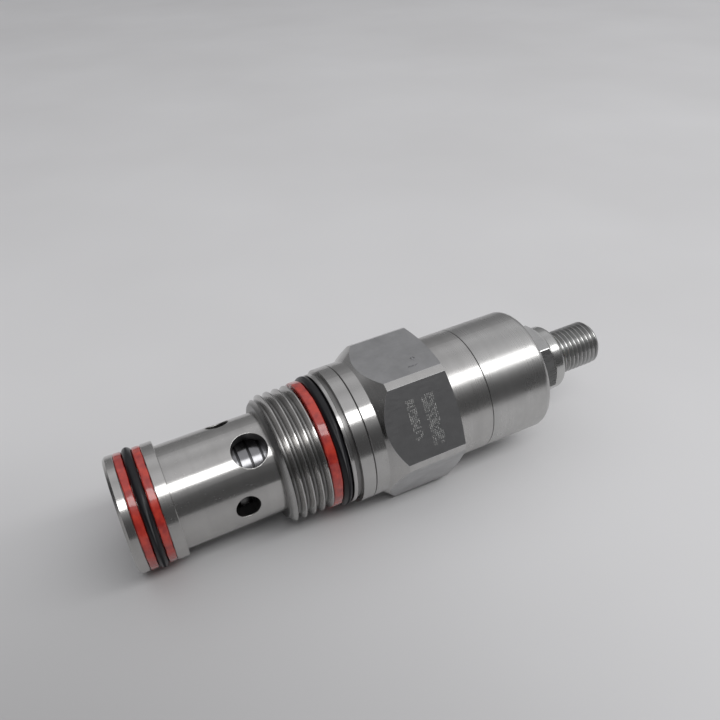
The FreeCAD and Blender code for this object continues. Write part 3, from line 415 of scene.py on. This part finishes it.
# %% Where dirt and painted shade lie
# A row says where a groove starts and ends, the radius of its edge and its depth, all in millimetres, and
# the share of the colour that is left on its floor.
# painted shade on the walls of the cross holes
HOLES_IN_SLEEVE = ((-33.0, -14.5, 9.97, 0.30, 0.26),)
ADAPTER_GROOVES = (
    # the main thread's root is darkened for dirt and for painted shade
    (-14.2, -5.7, 12.20, 0.60, 0.55),  # root of the main thread
    # the relief is darkened as painted shade
    (-0.98, 0.02, 13.60, 0.70, 0.60),  # relief in front of the locating shoulder
    # the scribed line and the seam are darkened for dirt
    (2.45, 2.90, 13.82, 0.12, 0.30),  # scribed line
    (28.90, 29.10, 12.90, 0.10, 0.20),  # seam with the bonnet
)
BONNET_GROOVES = ((29.05, 29.25, 12.90, 0.10, 0.20),)
FLOOR_ROUGHNESS = 0.2


def dirty_and_shaded(finish, grooves):
    """Dull and darken the floors of these grooves: dirt in seams, painted shade in holes and recesses, both
    in thread roots.
    """
    for start, end, crest, depth, light in grooves:
        share = in_groove(finish.tree, finish.place, start * MM, end * MM, crest * MM, depth * MM)
        darken(finish, share, light, FLOOR_ROUGHNESS)
    return finish


sleeve_finish = dirty_and_shaded(sleeve_steel, HOLES_IN_SLEEVE).material
bonnet_finish = dirty_and_shaded(bonnet_steel, BONNET_GROOVES).material
print("dirty places:", len(HOLES_IN_SLEEVE + ADAPTER_GROOVES + BONNET_GROOVES))

# %% [markdown]
# ## The adapter: turned, with milled flats
# The adapter is one piece of hexagonal bar. Its round parts are turned, but its six flats keep the drawn
# and tumbled skin of the bar, which is duller and has a faint grain along its length. Two materials on
# two sets of faces could show that, but the frame's mesh is left alone, so one material does both: how far
# a point is from the axis, measured square to the nearest flat, says whether it lies on one.

# %% The skin of bar stock
ACROSS_FLATS = 28.575 * MM
FLAT_BAND = 0.02 * MM  # how far off a flat's plane a point may be and still lie on it
DRAWN_OUT = (0.12, 1.0, 1.0)  # the grain of drawn bar runs along its length


def on_hex_flats(tree, place, across_flats, turn_degrees=0.0):
    """1 on the flats of a hexagon round the X axis, 0 elsewhere."""
    parts = add(tree, "ShaderNodeSeparateXYZ", {0: place}).node
    distance = None
    for step in range(3):
        angle = math.radians(turn_degrees + 60 * step)
        up = compute(tree, "MULTIPLY", parts.outputs["Z"], math.cos(angle))
        aside = compute(tree, "MULTIPLY", parts.outputs["Y"], math.sin(angle))
        reach = compute(tree, "ABSOLUTE", compute(tree, "ADD", up, aside))
        distance = reach if distance is None else compute(tree, "MAXIMUM", distance, reach)
    off = compute(tree, "ABSOLUTE", compute(tree, "SUBTRACT", distance, across_flats / 2))
    return rescale(tree, off, FLAT_BAND, 2 * FLAT_BAND, 1.0, 0.0)


def add_milled_flats(finish, across_flats, start, end, skin, gloss, turn_degrees=0.0):
    """Give a turned finish the skin of bar stock on its hexagon, between start and end."""
    material, tree, surface, place = finish
    x = add(tree, "ShaderNodeSeparateXYZ", {0: place})
    flat = on_hex_flats(tree, place, across_flats, turn_degrees)
    flat = compute(tree, "MULTIPLY", flat, rescale(tree, x, start, start + FLAT_BAND))
    flat = compute(tree, "MULTIPLY", flat, rescale(tree, x, end, end + FLAT_BAND, 1.0, 0.0))
    drawn = add(tree, "ShaderNodeMapping", {"Vector": place, "Scale": DRAWN_OUT})
    grain = add(tree, "ShaderNodeTexNoise", {"Vector": drawn, "Scale": 3800.0, "Detail": 2.0})
    stain = add(tree, "ShaderNodeTexNoise", {
        "Vector": place, "Scale": 260.0, "Detail": 5.0, "Roughness": 0.62})
    dull = tuple(0.84 * c for c in skin)
    skin_tone = blend_colours(tree, rescale(tree, stain, 0.35, 0.7), (*skin, 1), (*dull, 1))
    rough = compute(tree, "ADD", rescale(tree, grain, 0.3, 0.7, gloss - 0.04, gloss + 0.05),
                    rescale(tree, stain, 0.4, 0.7, 0.0, 0.06))
    tone, roughness = surface.inputs["Base Color"], surface.inputs["Roughness"]
    plug(tree, tone, blend_colours(tree, flat, source_of(tone), skin_tone))
    plug(tree, roughness, blend_numbers(tree, flat, source_of(roughness), rough))
    height = source_of(surface.inputs["Normal"]).node.inputs["Height"]
    plug(tree, height, blend_numbers(tree, flat, source_of(height), grain))
    return material


# %% Turn the adapter, paint dirt and shade into its grooves, and mill its flats
HEX_START, HEX_END = 5.5 * MM, 21.2 * MM
BAR_SKIN = (0.485, 0.485, 0.49)
TAIL_START = 21.5 * MM
TAIL_ROUGHNESS = 0.095  # makes the round tail as satin as the bonnet behind it

adapter_steel = turned_steel("turned_adapter", (0.515, 0.508, 0.498), 0.19, cut=0.28)
dirty_and_shaded(adapter_steel, ADAPTER_GROOVES)
x = add(adapter_steel.tree, "ShaderNodeSeparateXYZ", {0: adapter_steel.place})
on_tail = compute(adapter_steel.tree, "GREATER_THAN", x, TAIL_START)
darken(adapter_steel, on_tail, 1.0, TAIL_ROUGHNESS)
adapter_finish = add_milled_flats(adapter_steel, ACROSS_FLATS, HEX_START, HEX_END, BAR_SKIN, 0.36)
print(f"the adapter's flats are {ACROSS_FLATS / MM:.3f} mm across")

# %% [markdown]
# ## Nut, screw and hidden steel
# The locknut is the same plated steel, with smaller flats turned a little from the adapter's. The screw
# has a cold-rolled thread, shiny on its crests, with its roots painted darker for dirt and shade. The pieces
# inside are ground and hardened, so their lines are finer and their reflections sharper. The main piston's
# steel is painted much darker than theirs, as painted shade for its place inside the sleeve, and its grooves
# darker still. Spring wire is drawn, and left dark by its heat treatment.

# %% Finishes for the smaller steel parts
NUT_ACROSS_FLATS = 14.29 * MM
NUT_TURN = -8.5  # degrees from the adapter's flats
nut_start = span("locknut")[0]
NUT_FLATS_START, NUT_FLATS_END = nut_start + 0.3 * MM, nut_start + 5 * MM
# the screw's thread roots are darkened for dirt and for painted shade
SCREW_GROOVES = ((nut_start / MM, 63.0, 4.76, 0.60, 0.80),)  # its thread
# painted shade in the piston's grooves
PISTON_GROOVES = ((-24.35, -7.7, 7.11, 0.14, 0.30),)
COARSE, FINE = 0.3 * MM, 0.08 * MM  # spacing of the lines on rolled or drawn steel, and on ground steel

nut_steel = turned_steel("turned_locknut", (0.53, 0.53, 0.52), 0.22, cut=0.4)
nut_finish = add_milled_flats(nut_steel, NUT_ACROSS_FLATS, NUT_FLATS_START, NUT_FLATS_END,
                              (0.52, 0.52, 0.515), 0.27, NUT_TURN)
screw_steel = turned_steel("rolled_screw", (0.52, 0.52, 0.515), 0.25, COARSE, cut=0.3, stretch=0.3)
screw_finish = dirty_and_shaded(screw_steel, SCREW_GROOVES).material
ground_finish = turned_steel("ground_and_hardened", (0.45, 0.45, 0.46), 0.20, FINE, cut=0.2).material
# painted shade: the piston's steel is much darker than the other ground steel, for its place inside the
# sleeve
piston_steel_in_painted_shade = turned_steel("ground_piston", (0.27, 0.27, 0.28), 0.22, FINE, cut=0.2)
piston_finish_in_painted_shade = dirty_and_shaded(piston_steel_in_painted_shade, PISTON_GROOVES).material
screen_steel = turned_steel("stainless_sheet", (0.52, 0.52, 0.51), 0.28, COARSE, cut=0.3, stretch=0.2)
screen_finish = screen_steel.material
wire_finish = turned_steel("drawn_wire", (0.30, 0.30, 0.31), 0.30, COARSE, cut=0.4, stretch=0.2).material
brass_finish = turned_steel("turned_brass", (0.66, 0.46, 0.18), 0.22, pitch=0.15 * MM).material
print(f"the nut's flats are {NUT_ACROSS_FLATS / MM:.2f} mm across and turned by {NUT_TURN} degrees")

# %% [markdown]
# ## Rubber, backup rings and nylon
# An O-ring is moulded black nitrile, wiped with oil, so it is near black with a narrow soft highlight. Its
# backup rings are a hard orange-red elastomer with a wet gloss: a clear coat over a slightly rougher body
# gives both. The locking insert in the nut is milky nylon, which lets a little light into its surface.

# %% Finishes that are not metal
def moulded(name, light, dark, roughness, coat=0.0, scatter=0.0, scale=500.0, relief=0.01 * MM, gleam=0.5):
    """A moulded skin that clouds between two colours, with fine pores. Scale is the clouds to a metre, and
    relief is how far they stand proud."""
    material, tree, surface = new_material(name)
    place = object_coordinates(tree)
    mottling = add(tree, "ShaderNodeTexNoise", {"Vector": place, "Scale": scale, "Detail": 3.0})
    pores = add(tree, "ShaderNodeTexNoise", {"Vector": place, "Scale": scale * 9, "Detail": 2.0})
    plug(tree, surface.inputs["Base Color"],
         blend_colours(tree, rescale(tree, mottling, 0.35, 0.65), (*light, 1), (*dark, 1)))
    rough = rescale(tree, pores, 0.3, 0.7, roughness - 0.04, roughness + 0.06)
    plug(tree, surface.inputs["Roughness"], rough)
    surface.inputs["Specular IOR Level"].default_value = gleam
    surface.inputs["Coat Weight"].default_value = coat
    surface.inputs["Coat Roughness"].default_value = 0.08
    surface.inputs["Subsurface Weight"].default_value = scatter
    surface.inputs["Subsurface Scale"].default_value = 0.5 * MM
    height = compute(tree, "ADD", mottling, compute(tree, "MULTIPLY", pores, 0.15))
    plug(tree, surface.inputs["Normal"],
         add(tree, "ShaderNodeBump", {"Height": height, "Distance": relief, "Strength": 0.6}))
    return material


rubber_finish = moulded("oiled_nitrile", (0.011, 0.011, 0.013), (0.006, 0.006, 0.008), 0.34, coat=0.10,
                        gleam=0.3)
backup_finish = moulded("orange_red_elastomer", (0.55, 0.044, 0.024), (0.35, 0.020, 0.016), 0.22, coat=0.8,
                        scale=700.0, relief=0.05 * MM)
nylon_finish = moulded("milky_nylon", (0.80, 0.79, 0.74), (0.74, 0.73, 0.68), 0.40, scatter=0.2)
print("moulded finishes:", rubber_finish.name, backup_finish.name, nylon_finish.name)

# %% [markdown]
# Every part of the frame names its own kind of steel, rubber or brass, and that name picks its finish. The
# adapter and the piston then get the finishes that were made for them alone.

# %% Put each finish on its parts
FINISHES = {
    "sleeve_steel": sleeve_finish, "plated_steel": bonnet_finish, "hardened_steel": ground_finish,
    "screw_steel": screw_finish, "nut_steel": nut_finish, "spring_steel": wire_finish,
    "screen_steel": screen_finish, "brass": brass_finish, "black_rubber": rubber_finish,
    "red_backup": backup_finish, "white_nylon": nylon_finish,
}
slot_of = {name: part.material_slots[0].material.name.split(".")[0] for name, part in nodes.items()}
for name, part in nodes.items():
    for material_slot in part.material_slots:
        material_slot.material = FINISHES[slot_of[name]]
nodes["hex_adapter"].material_slots[0].material = adapter_finish
nodes["main_piston"].material_slots[0].material = piston_finish_in_painted_shade
print("finishes in use:", len({part.material_slots[0].material.name for part in nodes.values()}))

# %% [markdown]
# ## Growing pieces with geometry nodes
# Rings, springs and punched marks all follow a rule, so each kind is one node tree with named sizes. The
# tree is run once and its result kept as a plain mesh, with its place in the mesh and the modifier gone.

# %% Helpers for geometry trees
def geometry_tree(name, sizes):
    """A tree with named inputs, as (name, socket type, default). Returns the tree and its input outlets."""
    tree = bpy.data.node_groups.new(name, "GeometryNodeTree")
    tree.interface.new_socket("Geometry", in_out="OUTPUT", socket_type="NodeSocketGeometry")
    for label, kind, value in sizes:
        socket = tree.interface.new_socket(label, in_out="INPUT", socket_type="NodeSocket" + kind)
        if value is not None:
            socket.default_value = value
    return tree, tree.nodes.new("NodeGroupInput").outputs


def end_tree(tree, geometry, finish):
    """Make instances real, shade smoothly, give the finish, and hand the result out."""
    real = add(tree, "GeometryNodeRealizeInstances", {0: geometry})
    smooth = add(tree, "GeometryNodeSetShadeSmooth", {0: real})
    painted = add(tree, "GeometryNodeSetMaterial", {"Geometry": smooth, "Material": finish})
    tree.links.new(painted, tree.nodes.new("NodeGroupOutput").inputs[0])


def grow(name, tree, body, slot, stands_for=None, **sizes):
    """Run a tree with these sizes, keep the result as a plain mesh that rides on a body, and measure it. A
    piece may be given no body, and then rides on none."""
    piece = bpy.data.objects.new(name, bpy.data.meshes.new(name))
    bpy.context.scene.collection.objects.link(piece)
    modifier = piece.modifiers.new("grow", "NODES")
    modifier.node_group = tree
    for item in tree.interface.items_tree:
        key = item.name.lower().replace(" ", "_")
        if item.in_out == "INPUT" and key in sizes:
            modifier[item.identifier] = sizes[key]
    graph = bpy.context.evaluated_depsgraph_get()
    mesh = bpy.data.meshes.new_from_object(piece.evaluated_get(graph), depsgraph=graph)
    piece.modifiers.remove(modifier)
    piece.data = mesh
    if body:
        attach(piece, body)
    if stands_for:
        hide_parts(stands_for)
    xs, _, zs = ([corner[axis] / MM for corner in piece.bound_box] for axis in range(3))
    print(f"{name}: {len(mesh.polygons)} faces, "
          f"x {min(xs):.2f} to {max(xs):.2f}, z {min(zs):.2f} to {max(zs):.2f} mm")
    return piece


# %% [markdown]
# ## Seals in their glands
# Each groove holds a round O-ring and, beside it, hard backup rings of nearly square section that stop
# the pressure from squeezing the rubber out. A torus would do for the O-rings, but one section swept round
# the axis makes both kinds, because a square with its corners fully rounded is a circle. A backup ring is
# stretched over the land and creeps back unevenly, so its surface is slightly wavy and its edge wanders,
# which is what breaks up its highlights. A small noise along the surface's own normals does that.

# %% The swept ring
tree, given = geometry_tree("swept_ring", (
    ("Centre", "Float", 0.0), ("Ring radius", "Float", 0.01), ("Width", "Float", 0.001),
    ("Height", "Float", 0.001), ("Corner", "Float", 0.0003), ("Steps", "Int", 160), ("Ripple", "Float", 0.0),
    ("Ripple length", "Float", 0.003), ("Seed", "Float", 0.0), ("Finish", "Material", None)))
line = add(tree, "GeometryNodeCurvePrimitiveCircle", {
    "Resolution": given["Steps"], "Radius": given["Ring radius"]})
section = add(tree, "GeometryNodeCurvePrimitiveQuadrilateral", {
    "Width": given["Height"], "Height": given["Width"]})
rounded = add(tree, "GeometryNodeFilletCurve", {
    "Curve": section, "Radius": given["Corner"], "Count": 5, "Limit Radius": True}, mode="POLY")
swept = add(tree, "GeometryNodeCurveToMesh", {"Curve": line, "Profile Curve": rounded})
place = add(tree, "GeometryNodeInputPosition")
wave = add(tree, "ShaderNodeTexNoise", {
    "Vector": place, "W": given["Seed"], "Scale": compute(tree, "DIVIDE", 1.0, given["Ripple length"]),
    "Detail": 1.5}, noise_dimensions="4D")
lift = compute(tree, "MULTIPLY", rescale(tree, wave, 0.3, 0.7, -1.0, 1.0), given["Ripple"])
outward = add(tree, "GeometryNodeInputNormal")
push = add(tree, "ShaderNodeVectorMath", {0: outward, 3: lift}, operation="SCALE")
wavy = add(tree, "GeometryNodeSetPosition", {"Geometry": swept, "Offset": push})
middle = add(tree, "ShaderNodeCombineXYZ", {0: given["Centre"]})
stood = add(tree, "GeometryNodeTransform", {"Geometry": wavy, "Translation": middle,
                                            "Rotation": (0, math.radians(90), 0)})
end_tree(tree, stood, given["Finish"])
ring_tree = tree
print("the swept ring takes", len(ring_tree.nodes), "nodes")

# %% Fit the rings
RIPPLE_LENGTH = 2.6 * MM
BACKUP_CORNER = 0.3 * MM
ORING_STEPS, BACKUP_STEPS = 200, 320
SLACK = 0.8  # a wavy ring is made this many ripples smaller, so that it stays in its gland
# name, how far the surface wanders in millimetres, seed
RINGS = (
    ("nose_oring", 0.0, 0.0),
    ("shoulder_oring", 0.0, 0.0),
    ("nose_backup_front", 0.075, 1.3),
    ("nose_backup_rear", 0.075, 4.1),
    ("shoulder_backup_ring", 0.06, 7.7),
)
for name, ripple, seed in RINGS:
    (start, end), (inner, outer) = span(name), radii(name)
    is_round = ripple == 0.0
    width, height = end - start - SLACK * ripple * MM, outer - inner - SLACK * ripple * MM
    grow(name + "_fitted", ring_tree, "cartridge", slot_of[name], name,
         centre=(start + end) / 2, ring_radius=(inner + outer) / 2, width=width, height=height,
         corner=min(width, height) / 2 if is_round else BACKUP_CORNER,
         steps=ORING_STEPS if is_round else BACKUP_STEPS,
         ripple=ripple * MM, ripple_length=RIPPLE_LENGTH, seed=seed,
         finish=rubber_finish if is_round else backup_finish)

# %% [markdown]
# ## Springs
# Two springs work inside the valve: one closes the main piston, the other sets the relief pressure. Each
# is a wire that follows a helix whose ends close up to lie flat. A ready-made spiral has the same pitch all
# along, so a line of points is bent into the helix by formula, turned into a curve and given a round
# section. The pressure spring ends at the pad that the adjusting screw moves, and leaves the poppet room to
# open.

# %% The wound spring
tree, given = geometry_tree("wound_spring", (
    ("Start", "Float", 0.0), ("Length", "Float", 0.01), ("Coil radius", "Float", 0.003),
    ("Wire radius", "Float", 0.0005), ("Turns", "Float", 6.0), ("Closed turns", "Float", 0.9),
    ("Points per turn", "Float", 28.0), ("Finish", "Material", None)))
count = compute(tree, "ADD", compute(tree, "MULTIPLY", given["Turns"], given["Points per turn"]), 1.0)
points = add(tree, "GeometryNodeMeshLine", {"Count": count})
turn = compute(tree, "DIVIDE", add(tree, "GeometryNodeInputIndex"), given["Points per turn"])
angle = compute(tree, "MULTIPLY", turn, 2 * math.pi)
closed_pitch = compute(tree, "MULTIPLY", given["Wire radius"], 2.04)
wound = compute(tree, "SUBTRACT", given["Length"], compute(tree, "MULTIPLY", given["Wire radius"], 2.0))
both_ends = compute(tree, "MULTIPLY", given["Closed turns"], 2.0)
open_turns = compute(tree, "SUBTRACT", given["Turns"], both_ends)
open_length = compute(tree, "SUBTRACT", wound, compute(tree, "MULTIPLY", both_ends, closed_pitch))
open_pitch = compute(tree, "DIVIDE", open_length, open_turns)
past_first = compute(tree, "SUBTRACT", turn, given["Closed turns"])
in_open = compute(tree, "MINIMUM", compute(tree, "MAXIMUM", past_first, 0.0), open_turns)
in_closed = compute(tree, "SUBTRACT", turn, in_open)
along = compute(tree, "ADD", compute(tree, "MULTIPLY", in_open, open_pitch),
                compute(tree, "MULTIPLY", in_closed, closed_pitch))
along = compute(tree, "ADD", along, compute(tree, "ADD", given["Start"], given["Wire radius"]))
aside = compute(tree, "MULTIPLY", compute(tree, "COSINE", angle), given["Coil radius"])
up = compute(tree, "MULTIPLY", compute(tree, "SINE", angle), given["Coil radius"])
helix = add(tree, "ShaderNodeCombineXYZ", {0: along, 1: aside, 2: up})
bent = add(tree, "GeometryNodeSetPosition", {"Geometry": points, "Position": helix})
wire = add(tree, "GeometryNodeMeshToCurve", {"Mesh": bent})
section = add(tree, "GeometryNodeCurvePrimitiveCircle", {"Resolution": 12, "Radius": given["Wire radius"]})
wound_wire = add(tree, "GeometryNodeCurveToMesh", {
    "Curve": wire, "Profile Curve": section, "Fill Caps": True})
end_tree(tree, wound_wire, given["Finish"])
spring_tree = tree
print("the wound spring takes", len(spring_tree.nodes), "nodes")

# %% Wind the two springs
PISTON_SPRING_WIRE, PISTON_SPRING_TURNS = 1.3 * MM, 8.0
PILOT_SPRING_WIRE, PILOT_SPRING_TURNS = 1.5 * MM, 5.5


def wind(name, body, wire, turns, room=0.0):
    """Wind a spring over the length of the plain one, stopping short of its front end by room."""
    (start, end), outer = span(name), radii(name)[1]
    return grow(name + "_wound", spring_tree, body, "spring_steel", name, start=start + room,
                length=end - start - room, coil_radius=outer - wire / 2, wire_radius=wire / 2, turns=turns,
                finish=wire_finish)


def travel(joint_name):
    """How far a sliding joint goes from rest."""
    return next(joint for joint in frame["joints"] if joint["name"] == joint_name)["range_m"][1]


piston_spring = wind("piston_spring", "cartridge", PISTON_SPRING_WIRE, PISTON_SPRING_TURNS)
start, end = span("piston_spring")
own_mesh(piston_spring)
pilot_spring = wind("pilot_spring", None, PILOT_SPRING_WIRE, PILOT_SPRING_TURNS, room=travel("poppet_lift"))
start, end = span("pilot_spring")
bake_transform(pilot_spring)

# %% [markdown]
# ## Dots punched in a flat
# Such a valve is marked with a pin that punches rows of small dots. Here the rows spell nothing: a grid of
# points loses some of its dots by a seeded choice. The dimples could be cut into the flat, but what
# catches the light is the burr that the pin raises round each one, so a small ring is set on every point.
# A lone dot and a short dash sit on the flat above.

# %% The punched dots
tree, given = geometry_tree("punched_dots", (
    ("Place", "Vector", (0, 0, 0)), ("Lean", "Float", 0.0), ("Columns", "Int", 4), ("Rows", "Int", 8),
    ("Pitch", "Float", 0.0004), ("Dot radius", "Float", 0.00012), ("Burr", "Float", 0.00005),
    ("Kept", "Float", 0.6), ("Seed", "Int", 1), ("Finish", "Material", None)))


def grid_side(tree, count):
    return compute(tree, "MULTIPLY", compute(tree, "SUBTRACT", count, 1.0), given["Pitch"])


grid = add(tree, "GeometryNodeMeshGrid", {
    "Size X": grid_side(tree, given["Columns"]), "Size Y": grid_side(tree, given["Rows"]),
    "Vertices X": given["Columns"], "Vertices Y": given["Rows"]})


def chance(tree, low, high, seed):
    node = tree.nodes.new("FunctionNodeRandomValue")
    for socket, value in ((2, low), (3, high), (8, seed)):
        plug(tree, node.inputs[socket], value)
    return node.outputs[1]


lost = compute(tree, "GREATER_THAN", chance(tree, 0.0, 1.0, given["Seed"]), given["Kept"])
dotted = add(tree, "GeometryNodeDeleteGeometry", {"Geometry": grid, "Selection": lost}, domain="POINT")
size = chance(tree, 0.8, 1.15, compute(tree, "ADD", given["Seed"], 5.0))
rim = add(tree, "GeometryNodeCurvePrimitiveCircle", {"Resolution": 9, "Radius": given["Dot radius"]})
bead = add(tree, "GeometryNodeCurvePrimitiveCircle", {"Resolution": 6, "Radius": given["Burr"]})
burr = add(tree, "GeometryNodeCurveToMesh", {"Curve": rim, "Profile Curve": bead})
dots = add(tree, "GeometryNodeInstanceOnPoints", {"Points": dotted, "Instance": burr, "Scale": size})
lean = add(tree, "FunctionNodeEulerToRotation", {0: add(tree, "ShaderNodeCombineXYZ", {0: given["Lean"]})})
laid = add(tree, "GeometryNodeTransform", {"Geometry": dots, "Translation": given["Place"], "Rotation": lean})
end_tree(tree, laid, given["Finish"])
dot_tree = tree
print("the punched dots take", len(dot_tree.nodes), "nodes")

# %% Punch the marks
# name, how many degrees its flat leans, its place along the valve and across the flat, its columns and
# rows, its pitch and dot radius, the share of dots kept, and its seed; lengths in millimetres
MARKS = (
    ("front_flat_marks_first_row", 60, 12.0, 0.4, 5, 21, 0.38, 0.12, 0.72, 3),
    ("front_flat_marks_second_row", 60, 15.7, -0.5, 7, 26, 0.38, 0.12, 0.70, 8),
    ("top_flat_dot", 0, 16.9, -2.9, 1, 1, 0.40, 0.36, 1.0, 1),
    ("top_flat_dash", 0, 15.8, -5.1, 8, 1, 0.24, 0.10, 1.0, 2),
)
BURR = 0.04 * MM
marked_steel = turned_steel("punched_steel", (0.50, 0.50, 0.485), 0.27, cut=0.2, stretch=0.0).material
for name, lean, along, across_flat, columns, rows, pitch, dot, kept, seed in MARKS:
    is_single = rows == 1  # a single mark is struck harder and holds dirt
    angle = math.radians(lean)
    outward = Vector((0, -math.sin(angle), math.cos(angle)))
    sideways = Vector((0, math.cos(angle), math.sin(angle)))
    spot = Vector((along * MM, 0, 0)) + outward * ACROSS_FLATS / 2 + sideways * across_flat * MM
    grow(name, dot_tree, "cartridge", "plated_steel", place=spot, lean=angle, columns=columns, rows=rows,
         pitch=pitch * MM, dot_radius=dot * MM, burr=2 * BURR if is_single else BURR, kept=kept, seed=seed,
         finish=wire_finish if is_single else marked_steel)
